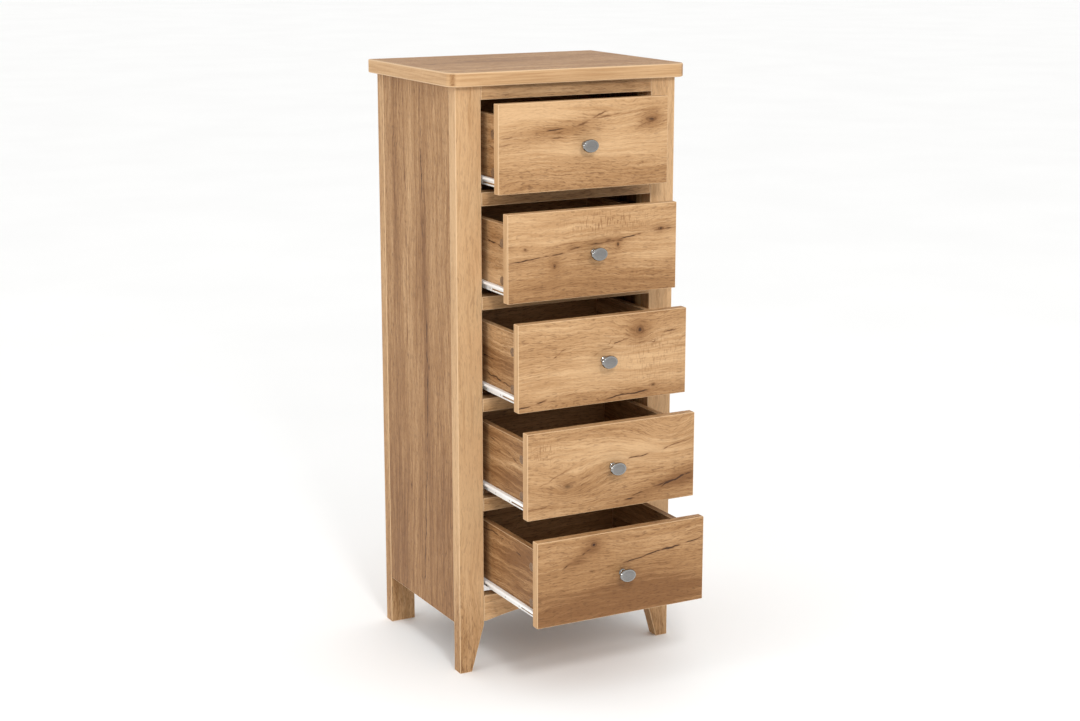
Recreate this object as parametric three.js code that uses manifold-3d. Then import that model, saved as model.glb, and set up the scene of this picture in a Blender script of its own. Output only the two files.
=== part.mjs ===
// A tall, narrow chest of five inset drawers on bottom-mounted roller runners.
// Millimetres, +Z up, +X to the right of somebody facing the drawers, who looks along +Y.
// The drawers stand open in a stagger, and x = 0 is the middle of the chest.

import * as THREE from "three";
import { mergeVertices } from "three/addons/utils/BufferGeometryUtils.js";
import Module from "manifold-3d";

const wasm = await Module();
wasm.setup();

// ---- driving dimensions -------------------------------------------------------------------

const GAP = 0.3; // between pieces that touch

// The case
const CASE_WIDTH = 448;
const CASE_DEPTH = 338;
const CASE_HEIGHT = 1085;
const FRAME_THICKNESS = 25; // legs, rails and top are one board thickness
const LEG_WIDTH = 50;
const FOOT_WIDTH = 24.5; // front legs taper to this at the floor
const TAPER_HEIGHT = 89;
const SIDE_THICKNESS = 18;
const SIDE_INSET = 0.5; // the side panels sit just behind the legs' outer faces
const SIDE_CLEARANCE = 93; // floor to the side panels
const APRON_CLEARANCE = 95; // floor to the bottom rails
const APRON_FLAT = 5; // straight ends of the apron's lower edge
const APRON_RISE = 18.5; // height of the arch in the apron's lower edge
const RAIL_HEIGHT = 25;
const RAIL_DEPTH = 30;
const REAR_RAIL_HEIGHT = 50;
const BACK_THICKNESS = 3;
const BACK_SETBACK = 11; // from the rear face of the rear legs
const BACK_GROOVE = 8;

// The top
const TOP_SIDE_OVERHANG = 16;
const TOP_FRONT_OVERHANG = 17;
const TOP_BACK_OVERHANG = 5;
const TOP_CORNER_RADIUS = 22;

// The drawers
const DRAWER_OPENINGS = [63, 97, 136, 170, 207]; // how far each one is pulled out, top first
const OPENING_HEIGHT = 163;
const FRONT_GAP = 2.5; // all round a drawer front
const FRONT_THICKNESS = 18;
const BOX_LENGTH = 285;
const BOX_BOARD = 12;
const BOX_HEIGHT = 125;
const BOX_LIFT = 11; // lower edge of the front to lower edge of the box
const FLOOR_LIFT = 9; // lower edge of the box to the underside of its floor
const FLOOR_THICKNESS = 3;
const FLOOR_GROOVE = 5;

// The runners. Their heights are measured from the lower edge of the drawer box.
const RUNNER_SPACE = 12.5; // between the opening's side and the box
const SHEET = 1.2; // the steel they are rolled from
const POST_DEPTH = 25; // of the battens that carry them
const CABINET_RUNNER_LENGTH = 300;
const RUNNER_SETBACK = 19; // the case half starts just behind a closed drawer front
const CHANNEL_LOW = -7.5;
const CHANNEL_HIGH = 8.2;
const CHANNEL_REACH = 9.5; // from the opening's side to the edges of the flanges
const MOUTH_LENGTH = 30; // the channel has no upper flange here, so that the rear roller can enter
const MOUTH_RISE = 3.5; // the web stands this much higher beside its roller
const DRAWER_RUNNER_LENGTH = 282;
const DRAWER_RUNNER_SETBACK = 1; // from the back of the drawer front
const HOOK_HIGH = 14.5; // top of the drawer half
const HOOK_START = 3.5; // from the opening's side to the outer face of its lip
const HOOK_LIP = 4.2;
const LEDGE = 10; // width of the flange under the box
const SLOT_START = 3; // adjusting slot, from the front end of the drawer half
const SLOT_LENGTH = 57;
const SLOT_LOW = 1.8;
const SLOT_HIGH = 4.8;
const ROLLER_RADIUS = 6.3;
const ROLLER_SIDES = 20;
const ROLLER_WIDTH = 5.5;
const ROLLER_INSET = 2; // from the end of the runner to the roller
const AXLE_RADIUS = 1.8;
const FRONT_ROLLER_START = 4.9; // from the case half's web
const FRONT_ROLLER_HEIGHT = 6.7;
const REAR_ROLLER_START = 3.3; // from the drawer half's web
const REAR_ROLLER_HEIGHT = 0.35;

// The knobs
const KNOB_WIDTH = 32;
const KNOB_HEIGHT = 24;
const KNOB_REACH = 25.2; // from the face of the drawer front
const KNOB_SIDES = 28;
const NECK_RADIUS = 4.8;
const NECK_LENGTH = 16;
const KNOB_FOOT_RADIUS = 7;
const KNOB_FOOT_LENGTH = 2.5;
const SCREW_RADIUS = 2;
const SCREW_HOLE_RADIUS = 2.6;
const SCREW_HEAD_RADIUS = 4.2;
const SCREW_HEAD_LENGTH = 2.4;

// ---- places worked out from them ------------------------------------------------------------

const caseHalf = CASE_WIDTH / 2;
const openingHalf = caseHalf - LEG_WIDTH;
const railPitch = OPENING_HEIGHT + RAIL_HEIGHT;
const frontWidth = 2 * (openingHalf - FRONT_GAP);
const frontHeight = OPENING_HEIGHT - 2 * FRONT_GAP;
const boxHalf = openingHalf - RUNNER_SPACE;
const topUnderside = CASE_HEIGHT - GAP;
const overlap = 1; // how far joined shapes run into each other, and cutters run past a face

// Floor of the drawer opening, counted from the top one.
const openingFloor = (drawer) => CASE_HEIGHT - drawer * railPitch;

// ---- materials --------------------------------------------------------------------------------

const oak = new THREE.MeshStandardMaterial({ color: 0xc39a6b, roughness: 0.55, metalness: 0 });
const drawerOak = new THREE.MeshStandardMaterial({ color: 0xb08457, roughness: 0.6, metalness: 0 });
const hardboard = new THREE.MeshStandardMaterial({ color: 0x9c7549, roughness: 0.8, metalness: 0 });
const softwood = new THREE.MeshStandardMaterial({ color: 0xc9a878, roughness: 0.8, metalness: 0 });
const whiteSteel = new THREE.MeshStandardMaterial({ color: 0xf0f0ee, roughness: 0.4, metalness: 0.1 });
const satinNickel = new THREE.MeshStandardMaterial({ color: 0xb9b9b7, roughness: 0.3, metalness: 1 });

// ---- geometry helpers -----------------------------------------------------------------------

// A box from its lowest and highest corners.
function block([x0, y0, z0], [x1, y1, z1]) {
  const geometry = new THREE.BoxGeometry(x1 - x0, y1 - y0, z1 - z0);
  return geometry.translate((x0 + x1) / 2, (y0 + y1) / 2, (z0 + z1) / 2);
}

// A plan outline (x, y) raised from z0 to z1.
function raised(shape, z0, z1) {
  const geometry = new THREE.ExtrudeGeometry(shape, { depth: z1 - z0, bevelEnabled: false, curveSegments: 8 });
  return geometry.translate(0, 0, z0);
}

// A front outline (x, z) carried back from y0 to y1.
function carriedBack(shape, y0, y1) {
  const geometry = new THREE.ExtrudeGeometry(shape, { depth: y1 - y0, bevelEnabled: false, curveSegments: 12 });
  return geometry.rotateX(Math.PI / 2).translate(0, y1, 0);
}

// A round bar along X from x0 to x1, about the point (y, z).
function barAlongX(radius, x0, x1, y, z) {
  const geometry = new THREE.CylinderGeometry(radius, radius, x1 - x0, ROLLER_SIDES);
  return geometry.rotateZ(Math.PI / 2).translate((x0 + x1) / 2, y, z);
}

// A round bar along Y from y0 to y1, about the point (x, z).
function barAlongY(radius, y0, y1, x, z) {
  const geometry = new THREE.CylinderGeometry(radius, radius, y1 - y0, ROLLER_SIDES);
  return geometry.translate(x, (y0 + y1) / 2, z);
}

function outline(points) {
  return new THREE.Shape(points.map(([x, y]) => new THREE.Vector2(x, y)));
}

function solid(geometry) {
  const bare = geometry.clone();
  bare.deleteAttribute("normal");
  bare.deleteAttribute("uv");
  const merged = mergeVertices(bare, 1e-4);
  const vertProperties = new Float32Array(merged.attributes.position.array);
  const triVerts = new Uint32Array(merged.index.array);
  return new wasm.Manifold(new wasm.Mesh({ numProp: 3, vertProperties, triVerts }));
}

function surface(manifold) {
  const { vertProperties, triVerts } = manifold.getMesh();
  const geometry = new THREE.BufferGeometry();
  geometry.setAttribute("position", new THREE.BufferAttribute(new Float32Array(vertProperties), 3));
  geometry.setIndex(new THREE.BufferAttribute(new Uint32Array(triVerts), 1));
  geometry.computeVertexNormals();
  return geometry;
}

function cut(geometry, ...tools) {
  return surface(tools.reduce((body, tool) => body.subtract(solid(tool)), solid(geometry)));
}

function join(geometry, ...others) {
  return surface(others.reduce((body, other) => body.add(solid(other)), solid(geometry)));
}

function piece(name, geometry, material) {
  const mesh = new THREE.Mesh(geometry, material);
  mesh.name = name;
  return mesh;
}

// A left-hand piece and its mirror image on the right.
function pair(leftName, rightName, geometry, material) {
  const left = piece(leftName, geometry, material);
  const right = piece(rightName, geometry, material);
  right.scale.x = -1;
  return [left, right];
}

// ---- the case -----------------------------------------------------------------------------------

function topPanel() {
  const half = caseHalf + TOP_SIDE_OVERHANG;
  const front = -TOP_FRONT_OVERHANG;
  const back = CASE_DEPTH + TOP_BACK_OVERHANG;
  const r = TOP_CORNER_RADIUS;
  const shape = new THREE.Shape();
  shape.moveTo(-half, back);
  shape.lineTo(-half, front + r);
  shape.absarc(-half + r, front + r, r, Math.PI, 1.5 * Math.PI);
  shape.lineTo(half - r, front);
  shape.absarc(half - r, front + r, r, 1.5 * Math.PI, 2 * Math.PI);
  shape.lineTo(half, back);
  shape.closePath();
  return piece("top_panel", raised(shape, CASE_HEIGHT, CASE_HEIGHT + FRAME_THICKNESS), oak);
}

function frontLegs() {
  const shape = outline([
    [-caseHalf, 0],
    [-caseHalf + FOOT_WIDTH, 0],
    [-openingHalf, TAPER_HEIGHT],
    [-openingHalf, topUnderside],
    [-caseHalf, topUnderside],
  ]);
  return pair("front_left_leg", "front_right_leg", carriedBack(shape, 0, FRAME_THICKNESS), oak);
}

// The slot that the back panel stands in, cut round the inside of the rear frame.
function backGroove() {
  const half = openingHalf + BACK_GROOVE;
  const y0 = CASE_DEPTH - BACK_SETBACK - BACK_THICKNESS;
  const z0 = APRON_CLEARANCE + REAR_RAIL_HEIGHT - BACK_GROOVE;
  const z1 = topUnderside - REAR_RAIL_HEIGHT + BACK_GROOVE;
  return block([-half, y0 - GAP, z0], [half, y0 + BACK_THICKNESS + GAP, z1]);
}

function rearLegs() {
  const board = block([-caseHalf, CASE_DEPTH - FRAME_THICKNESS, 0], [-openingHalf, CASE_DEPTH, topUnderside]);
  return pair("rear_left_leg", "rear_right_leg", cut(board, backGroove()), oak);
}

function rearRails() {
  const half = openingHalf - GAP;
  const y0 = CASE_DEPTH - FRAME_THICKNESS;
  const low = block([-half, y0, APRON_CLEARANCE], [half, CASE_DEPTH, APRON_CLEARANCE + REAR_RAIL_HEIGHT]);
  const high = block([-half, y0, topUnderside - REAR_RAIL_HEIGHT], [half, CASE_DEPTH, topUnderside]);
  return [
    piece("rear_top_rail", cut(high, backGroove()), oak),
    piece("rear_bottom_rail", cut(low, backGroove()), oak),
  ];
}

function backPanel() {
  const half = openingHalf + BACK_GROOVE - GAP;
  const y0 = CASE_DEPTH - BACK_SETBACK - BACK_THICKNESS;
  const z0 = APRON_CLEARANCE + REAR_RAIL_HEIGHT - BACK_GROOVE + GAP;
  const z1 = topUnderside - REAR_RAIL_HEIGHT + BACK_GROOVE - GAP;
  return piece("back_panel", block([-half, y0, z0], [half, y0 + BACK_THICKNESS, z1]), hardboard);
}

function sidePanels() {
  const outer = -caseHalf + SIDE_INSET;
  const board = block(
    [outer, FRAME_THICKNESS + GAP, SIDE_CLEARANCE],
    [outer + SIDE_THICKNESS, CASE_DEPTH - FRAME_THICKNESS - GAP, topUnderside],
  );
  return pair("left_side_panel", "right_side_panel", board, oak);
}

// Upright battens inside the side panels, which the ends of the runners are screwed to.
function runnerPosts() {
  const outer = -caseHalf + SIDE_INSET + SIDE_THICKNESS + GAP;
  const front = FRAME_THICKNESS + GAP;
  const back = CASE_DEPTH - FRAME_THICKNESS - GAP;
  const frontPost = block([outer, front, APRON_CLEARANCE], [-openingHalf, front + POST_DEPTH, topUnderside]);
  const rearPost = block([outer, back - POST_DEPTH, APRON_CLEARANCE], [-openingHalf, back, topUnderside]);
  return [
    ...pair("left_front_post", "right_front_post", frontPost, softwood),
    ...pair("left_rear_post", "right_rear_post", rearPost, softwood),
  ];
}

function levelRail(name, z0) {
  const half = openingHalf - GAP;
  return piece(name, block([-half, 0, z0], [half, RAIL_DEPTH, z0 + RAIL_HEIGHT - GAP]), oak);
}

// The apron, with a shallow arch in its lower edge.
function bottomRail() {
  const half = openingHalf - GAP;
  const archHalf = half - APRON_FLAT;
  const radius = (archHalf ** 2 + APRON_RISE ** 2) / (2 * APRON_RISE);
  const centreZ = APRON_CLEARANCE + APRON_RISE - radius;
  const angle = Math.asin(archHalf / radius);
  const shape = new THREE.Shape();
  shape.moveTo(half, APRON_CLEARANCE);
  shape.lineTo(half, openingFloor(DRAWER_OPENINGS.length));
  shape.lineTo(-half, openingFloor(DRAWER_OPENINGS.length));
  shape.lineTo(-half, APRON_CLEARANCE);
  shape.absarc(0, centreZ, radius, Math.PI / 2 + angle, Math.PI / 2 - angle, true);
  shape.closePath();
  return piece("bottom_rail", carriedBack(shape, 0, FRAME_THICKNESS), oak);
}

function caseRails() {
  const dividers = DRAWER_OPENINGS.slice(0, -1).map((_, index) => {
    const drawer = index + 1;
    return levelRail(`divider_rail_${drawer}`, openingFloor(drawer) - RAIL_HEIGHT);
  });
  return [levelRail("top_rail", CASE_HEIGHT - RAIL_HEIGHT), ...dividers, bottomRail()];
}

// ---- the runners --------------------------------------------------------------------------------

// A rolled section (u, w): u runs inwards from the opening's left side, and w up from the box's
// lower edge, which is at height boxFloor.
function rolledSection(points, boxFloor, y0, length) {
  const shape = outline(points.map(([u, w]) => [-openingHalf + u, boxFloor + w]));
  return carriedBack(shape, y0, y0 + length);
}

// The case half: a C channel, open at the front where its own roller stands.
function cabinetRunners(drawer, boxFloor) {
  const channel = rolledSection(
    [
      [GAP, CHANNEL_LOW],
      [CHANNEL_REACH, CHANNEL_LOW],
      [CHANNEL_REACH, CHANNEL_LOW + SHEET],
      [GAP + SHEET, CHANNEL_LOW + SHEET],
      [GAP + SHEET, CHANNEL_HIGH - SHEET],
      [CHANNEL_REACH, CHANNEL_HIGH - SHEET],
      [CHANNEL_REACH, CHANNEL_HIGH],
      [GAP, CHANNEL_HIGH],
    ],
    boxFloor,
    RUNNER_SETBACK,
    CABINET_RUNNER_LENGTH,
  );
  const web = -openingHalf + GAP;
  const flange = -openingHalf + CHANNEL_REACH;
  const roof = boxFloor + CHANNEL_HIGH;
  const y0 = RUNNER_SETBACK;
  const mouth = block(
    [web + SHEET, y0 - overlap, roof - SHEET - overlap],
    [flange + overlap, y0 + MOUTH_LENGTH, roof + overlap],
  );
  const cheek = block([web, y0, roof - overlap], [web + SHEET, y0 + MOUTH_LENGTH, roof + MOUTH_RISE]);
  const rollerY = y0 + ROLLER_INSET + ROLLER_RADIUS;
  const rollerZ = boxFloor + FRONT_ROLLER_HEIGHT;
  const rollerX = web + FRONT_ROLLER_START;
  const axle = barAlongX(AXLE_RADIUS, web + SHEET / 2, rollerX + overlap, rollerY, rollerZ);
  const roller = barAlongX(ROLLER_RADIUS, rollerX, rollerX + ROLLER_WIDTH, rollerY, rollerZ);
  const geometry = join(cut(channel, mouth), cheek, axle, roller);
  return pair(`left_cabinet_runner_${drawer}`, `right_cabinet_runner_${drawer}`, geometry, whiteSteel);
}

// The drawer half: it wraps under the box, and its top flange rides on the case half's roller.
function drawerRunners(drawer, boxFloor, y0) {
  const web = RUNNER_SPACE - GAP;
  const section = rolledSection(
    [
      [web + LEDGE, -GAP - SHEET],
      [web + LEDGE, -GAP],
      [web, -GAP],
      [web, HOOK_HIGH],
      [HOOK_START, HOOK_HIGH],
      [HOOK_START, HOOK_HIGH - HOOK_LIP],
      [HOOK_START + SHEET, HOOK_HIGH - HOOK_LIP],
      [HOOK_START + SHEET, HOOK_HIGH - SHEET],
      [web - SHEET, HOOK_HIGH - SHEET],
      [web - SHEET, -GAP - SHEET],
    ],
    boxFloor,
    y0,
    DRAWER_RUNNER_LENGTH,
  );
  const webX = -openingHalf + web;
  const slot = block(
    [webX - SHEET - overlap, y0 + SLOT_START, boxFloor + SLOT_LOW],
    [webX + overlap, y0 + SLOT_START + SLOT_LENGTH, boxFloor + SLOT_HIGH],
  );
  const rollerY = y0 + DRAWER_RUNNER_LENGTH - ROLLER_INSET - ROLLER_RADIUS;
  const rollerZ = boxFloor + REAR_ROLLER_HEIGHT;
  const rollerX = webX - REAR_ROLLER_START;
  const axle = barAlongX(AXLE_RADIUS, rollerX - overlap, webX - SHEET / 2, rollerY, rollerZ);
  const roller = barAlongX(ROLLER_RADIUS, rollerX - ROLLER_WIDTH, rollerX, rollerY, rollerZ);
  const geometry = join(cut(section, slot), axle, roller);
  return pair(`drawer_${drawer}_left_runner`, `drawer_${drawer}_right_runner`, geometry, whiteSteel);
}

// ---- the drawers ----------------------------------------------------------------------------------

// An oval knob on a round neck, with the screw that comes through the front from inside.
// The profile gives radius and distance out from the drawer front, before it is widened to an oval.
function knob(drawer, frontY, z) {
  const profile = [
    [0, 14],
    [7, 14.6],
    [11, 17],
    [12, 19.5],
    [12, 21.5],
    [11.2, 23.6],
    [9.6, 24.6],
    [0, KNOB_REACH],
  ].map(([r, out]) => new THREE.Vector2(r, out));
  const head = new THREE.LatheGeometry(profile, KNOB_SIDES);
  head.scale(KNOB_WIDTH / KNOB_HEIGHT, 1, 1).rotateZ(Math.PI).translate(0, frontY, z);
  const foot = barAlongY(KNOB_FOOT_RADIUS, frontY - KNOB_FOOT_LENGTH, frontY - GAP, 0, z);
  const neck = barAlongY(NECK_RADIUS, frontY - NECK_LENGTH, frontY - KNOB_FOOT_LENGTH / 2, 0, z);
  const inside = frontY + FRONT_THICKNESS + GAP;
  const shank = barAlongY(SCREW_RADIUS, frontY - overlap, inside + overlap, 0, z);
  const screwHead = barAlongY(SCREW_HEAD_RADIUS, inside, inside + SCREW_HEAD_LENGTH, 0, z);
  return piece(`drawer_${drawer}_knob`, join(head, neck, foot, shank, screwHead), satinNickel);
}

// The two sides and the back of the box, folded from one V-grooved board.
function drawerBox(drawer, y0, boxFloor, groove) {
  const inner = boxHalf - BOX_BOARD;
  const y1 = y0 + BOX_LENGTH;
  const shape = outline([
    [-boxHalf, y0],
    [-inner, y0],
    [-inner, y1 - BOX_BOARD],
    [inner, y1 - BOX_BOARD],
    [inner, y0],
    [boxHalf, y0],
    [boxHalf, y1],
    [-boxHalf, y1],
  ]);
  return piece(`drawer_${drawer}_box`, cut(raised(shape, boxFloor, boxFloor + BOX_HEIGHT), groove), drawerOak);
}

function drawerGroup(drawer, open) {
  const frontY = -open;
  const frontZ = openingFloor(drawer) + FRONT_GAP;
  const boxFloor = frontZ + BOX_LIFT;
  const boxY = frontY + FRONT_THICKNESS + GAP;
  const middleZ = frontZ + frontHeight / 2;

  const floorHalf = boxHalf - BOX_BOARD + FLOOR_GROOVE;
  const floorY0 = frontY + FRONT_THICKNESS - FLOOR_GROOVE;
  const floorY1 = boxY + BOX_LENGTH - BOX_BOARD + FLOOR_GROOVE;
  const floorZ = boxFloor + FLOOR_LIFT;
  const groove = block(
    [-floorHalf - GAP, floorY0 - GAP, floorZ - GAP],
    [floorHalf + GAP, floorY1 + GAP, floorZ + FLOOR_THICKNESS + GAP],
  );
  const floor = block([-floorHalf, floorY0, floorZ], [floorHalf, floorY1, floorZ + FLOOR_THICKNESS]);

  const board = block(
    [-frontWidth / 2, frontY, frontZ],
    [frontWidth / 2, frontY + FRONT_THICKNESS, frontZ + frontHeight],
  );
  const backY = frontY + FRONT_THICKNESS;
  const screwHole = barAlongY(SCREW_HOLE_RADIUS, frontY - overlap, backY + overlap, 0, middleZ);

  const group = new THREE.Group();
  group.add(
    piece(`drawer_${drawer}_front`, cut(board, groove, screwHole), oak),
    drawerBox(drawer, boxY, boxFloor, groove),
    piece(`drawer_${drawer}_bottom`, floor, hardboard),
    knob(drawer, frontY, middleZ),
    ...drawerRunners(drawer, boxFloor, boxY + DRAWER_RUNNER_SETBACK),
    ...cabinetRunners(drawer, boxFloor),
  );
  return group;
}

// ---- assembly -------------------------------------------------------------------------------------

const frontReach = Math.max(...DRAWER_OPENINGS) + KNOB_REACH;
const backReach = CASE_DEPTH + TOP_BACK_OVERHANG;

const chest = new THREE.Group();
chest.add(
  topPanel(),
  ...frontLegs(),
  ...rearLegs(),
  ...sidePanels(),
  ...runnerPosts(),
  ...caseRails(),
  ...rearRails(),
  backPanel(),
  ...DRAWER_OPENINGS.map((open, index) => drawerGroup(index + 1, open)),
);

// The origin is on the floor, halfway between the foremost knob and the back of the top.
chest.position.y = (frontReach - backReach) / 2;

export default chest;
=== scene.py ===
"""The looks of a tall chest of drawers, built round its CAD model. Metres, +Z up, drawers towards -Y."""

import math
from collections import namedtuple
from functools import partialmethod

import bmesh
import bpy
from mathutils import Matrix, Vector


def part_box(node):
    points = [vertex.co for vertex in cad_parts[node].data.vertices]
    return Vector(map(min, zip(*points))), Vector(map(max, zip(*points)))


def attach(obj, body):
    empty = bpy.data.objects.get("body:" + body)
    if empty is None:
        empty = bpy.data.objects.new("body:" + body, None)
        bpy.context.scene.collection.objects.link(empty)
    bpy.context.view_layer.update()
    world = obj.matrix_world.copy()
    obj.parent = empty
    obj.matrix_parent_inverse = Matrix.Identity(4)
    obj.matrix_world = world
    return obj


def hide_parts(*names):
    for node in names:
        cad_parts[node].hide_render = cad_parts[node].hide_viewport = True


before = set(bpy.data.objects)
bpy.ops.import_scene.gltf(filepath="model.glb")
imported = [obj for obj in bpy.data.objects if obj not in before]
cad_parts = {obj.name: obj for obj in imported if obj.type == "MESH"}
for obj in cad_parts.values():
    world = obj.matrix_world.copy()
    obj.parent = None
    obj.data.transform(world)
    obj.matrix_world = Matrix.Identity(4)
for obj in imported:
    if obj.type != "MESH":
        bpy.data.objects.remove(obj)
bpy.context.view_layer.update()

MM = 0.001
X, Y, Z = range(3)
DRAWERS = range(1, 6)
SIDES = {1: "left", -1: "right"}
CLEAR = 0.3 * MM  # between pieces that touch

# Edges
SMOOTH_BELOW = math.radians(44)  # edges that turn by less are shaded smoothly
SHARP = math.radians(28)  # edges that turn by more are rounded
EASED = "eased"  # the mesh attribute that marks rounded edges
EASE = 1.2 * MM  # radius of the eased edges of legs, rails and panels
FRONT_EASE = 0.9 * MM
TOP_EASE = 2.2 * MM
BOX_EASE = 0.7 * MM
BATTEN_EASE = 1.5 * MM

# Shapes that the node boxes don't tell
TOP_CORNER = 22 * MM
FOOT_WIDTH = 24.5 * MM
TAPER_HEIGHT = 89 * MM
APRON_FLAT = 5 * MM
APRON_RISE = 18.5 * MM
BOX_BOARD = 12 * MM
MITRE_GAP = 0.12 * MM  # the groove left where the drawer box is folded
SCREW_HOLE = 2.6 * MM

# Cam caps on the sides of the drawer boxes. Sections are in mm: out from the axis, and along it.
CAP_SECTION = ((0, 0.1), (8, 0.1), (8, 0.25), (7.6, 0.5), (3.6, 0.575), (3.36, 0.375), (0, 0.375))
CAP_BEHIND_FRONT = 23 * MM
CAP_HEIGHTS = (24 * MM, 91 * MM)  # above the lower edge of the box

# Knobs: sections run out from the drawer front. They and the bare measures are in mm.
KNOB_OVAL = 16 / 12  # width over height
KNOB_REACH = 25.2
KNOB_RIM = ((4.8, 12.5), (6, 14.4), (9, 15.6), (12, 19), (12, 21.8), (11, 24.2), (9.8, 24.1))
KNOB_RIM_BACK = 14
KNOB_FACE_RADIUS = 9.7
KNOB_FACE_BACK = 23
KNOB_DOME = 1.6
KNOB_SIDES = 72
KNOB_STEM = ((6.4, 0.3), (7, 1), (6.5, 2.4), (5.2, 3.2), (4.3, 8), (4.8, 13.5))
RIM_ROUND = 0.8 * MM
STEM_ROUND = 0.5 * MM

# Screws: heads start where the shank ends
KNOB_SCREW_RADIUS = 2 * MM
KNOB_SCREW_HEAD = ((4.2, 0), (4.2, 1), (3.36, 1.8), (1.68, 2.2), (0, 2.2))
KNOB_SCREW_CROSS = 2.2 * MM  # from the axis to the end of the cross slot
WALL_SCREW = ((0, 0), (2.25, 0), (3, 0.7), (2.7, 1), (0, 1.2))
WALL_SCREW_CROSS = 1.7 * MM
CROSS_WIDTH = 0.8 * MM
CROSS_DEPTH = 0.9 * MM

# Runners: u is measured inwards from the side of the opening, and w up from the lower edge of the box
SHEET = 1.2 * MM
BEND = 1.1 * MM  # radius of the sheet's bends, at its middle
CUT = 3 * MM  # how far cutters reach on both sides of a sheet
DRAWER_HALF = ((22.2, -0.9), (11.6, -0.9), (11.6, 13.9), (4.1, 13.9), (4.1, 10.3))  # (u, w), mm
CASE_HALF = ((9.5, -6.9), (0.9, -6.9), (0.9, 7.6), (9.5, 7.6))
WEB_U = 11.6 * MM
SLOT_Y = (3 * MM, 60 * MM)  # behind the runner's front
SLOT_W = (1.8 * MM, 4.8 * MM)
HOLE_RADIUS = 1.9 * MM
HOLE_W = 3.3 * MM
RUNNER_HOLES = (69 * MM, 124 * MM, 200 * MM, 262 * MM)  # behind the back of the drawer front
MOUTH = 30 * MM  # how far back the case half's upper flange is open
MOUTH_U = (1.6 * MM, 12 * MM)
MOUTH_W = (5.5 * MM, 9 * MM)
CHEEK_U = (0.3 * MM, 1.5 * MM)
CHEEK = ((0, 7), (30, 7), (30, 9), (27, 11.7), (2, 11.7), (0, 10))  # (behind the runner's front, w), mm
CHEEK_EASE = 0.25 * MM
SCREW_U = 1.5 * MM
SCREW_W = 0.35 * MM
SCREWS_BEHIND_FRONT = (20 * MM, 280 * MM)
BOX_SCREW_U = 11.4 * MM

# Rollers and axles
ROLLER_RADIUS = 6.3 * MM
ROLLER_WIDTH = 5.5 * MM
ROLLER_INSET = 2 * MM
ROLLER_RIM = 1.5 * MM  # width of the raised ring on each cheek
RIM_SLOPE = 0.4 * MM
RIM_CHAMFER = 0.5 * MM
HUB_RADIUS = 1.9 * MM
HUB_SUNK = 0.6 * MM
FRONT_ROLLER_U, FRONT_ROLLER_W = 5.2 * MM, 6.7 * MM
FRONT_AXLE_U, FRONT_AXLE = 1.2 * MM, 9.2 * MM  # where it starts, and its length
REAR_ROLLER_U, REAR_ROLLER_W = 3.4 * MM, 0.35 * MM
REAR_AXLE_U, REAR_AXLE = 11.3 * MM, 7.6 * MM
AXLE_RADIUS = 1.7 * MM
RIVET = ((1.25, 0), (1.2, 0.3), (0.7, 0.55), (0, 0.6))  # parts of the axle's radius, and mm beyond its end


# ---- meshes ----


def shade(mesh):
    """Smooth shading that breaks at real corners."""
    mesh.polygons.foreach_set("use_smooth", [True] * len(mesh.polygons))
    mesh.set_sharp_from_angle(angle=SMOOTH_BELOW)


def new_object(name, bm):
    bmesh.ops.recalc_face_normals(bm, faces=bm.faces)
    mesh = bpy.data.meshes.new(name)
    bm.to_mesh(mesh)
    bm.free()
    shade(mesh)
    obj = bpy.data.objects.new(name, mesh)
    bpy.context.scene.collection.objects.link(obj)
    return obj


def apply_modifiers(obj):
    depsgraph = bpy.context.evaluated_depsgraph_get()
    mesh = bpy.data.meshes.new_from_object(obj.evaluated_get(depsgraph))
    obj.modifiers.clear()
    obj.data = mesh


def weighted(obj):
    """Keeps the shading of large faces flat where rounded edges meet them."""
    obj.modifiers.new("weighted", "WEIGHTED_NORMAL").keep_sharp = True
    apply_modifiers(obj)
    return obj


def carved(obj, *tools):
    """Cuts closed tool objects out of obj and removes them."""
    for tool in tools:
        cut = obj.modifiers.new("cut", "BOOLEAN")
        cut.operation = "DIFFERENCE"
        cut.solver = "EXACT"
        cut.object = tool
    apply_modifiers(obj)
    for tool in tools:
        bpy.data.objects.remove(tool)
    shade(obj.data)
    return weighted(obj)


def placed(axis, level, p, q):
    """A place at level along axis, and at p and q along the other two, in their order."""
    place = [p, q]
    place.insert(axis, level)
    return place


def prism(outline, axis, start, end):
    """A closed bmesh: an outline of (p, q) points carried along axis."""
    bm = bmesh.new()
    low, high = [[bm.verts.new(placed(axis, level, p, q)) for p, q in outline] for level in (start, end)]
    bm.faces.new(low)
    bm.faces.new(high)
    for i in range(len(outline)):
        j = (i + 1) % len(outline)
        bm.faces.new((low[i], low[j], high[j], high[i]))
    bmesh.ops.recalc_face_normals(bm, faces=bm.faces)
    return bm


def ease(bm, radius, segments=3):
    """Rounds every sharp edge, and marks the new faces as eased."""
    mark = bm.faces.layers.float.new(EASED)
    edges = [e for e in bm.edges if e.calc_face_angle(0) > SHARP]
    made = bmesh.ops.bevel(
        bm, geom=edges, offset=radius, offset_type="OFFSET", segments=segments,
        profile=0.5, affect="EDGES", clamp_overlap=True,
    )
    for face in made["faces"]:
        face[mark] = 1.0
    return bm


def arc(centre, radius, start, end, steps):
    """Points on a circle, angles in degrees."""
    angles = [math.radians(start + (end - start) * i / steps) for i in range(steps + 1)]
    return [(centre[0] + radius * math.cos(t), centre[1] + radius * math.sin(t)) for t in angles]


def section(corners, sign=1):
    """Corners in mm as metres; a sign of -1 turns their second numbers round."""
    return [(p * MM, sign * q * MM) for p, q in corners]


def rectangle(low, high):
    return [(low[X], low[Y]), (high[X], low[Y]), (high[X], high[Y]), (low[X], high[Y])]


def block(name, low, high):
    return new_object(name, prism(rectangle(low, high), Z, low[Z], high[Z]))


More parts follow.
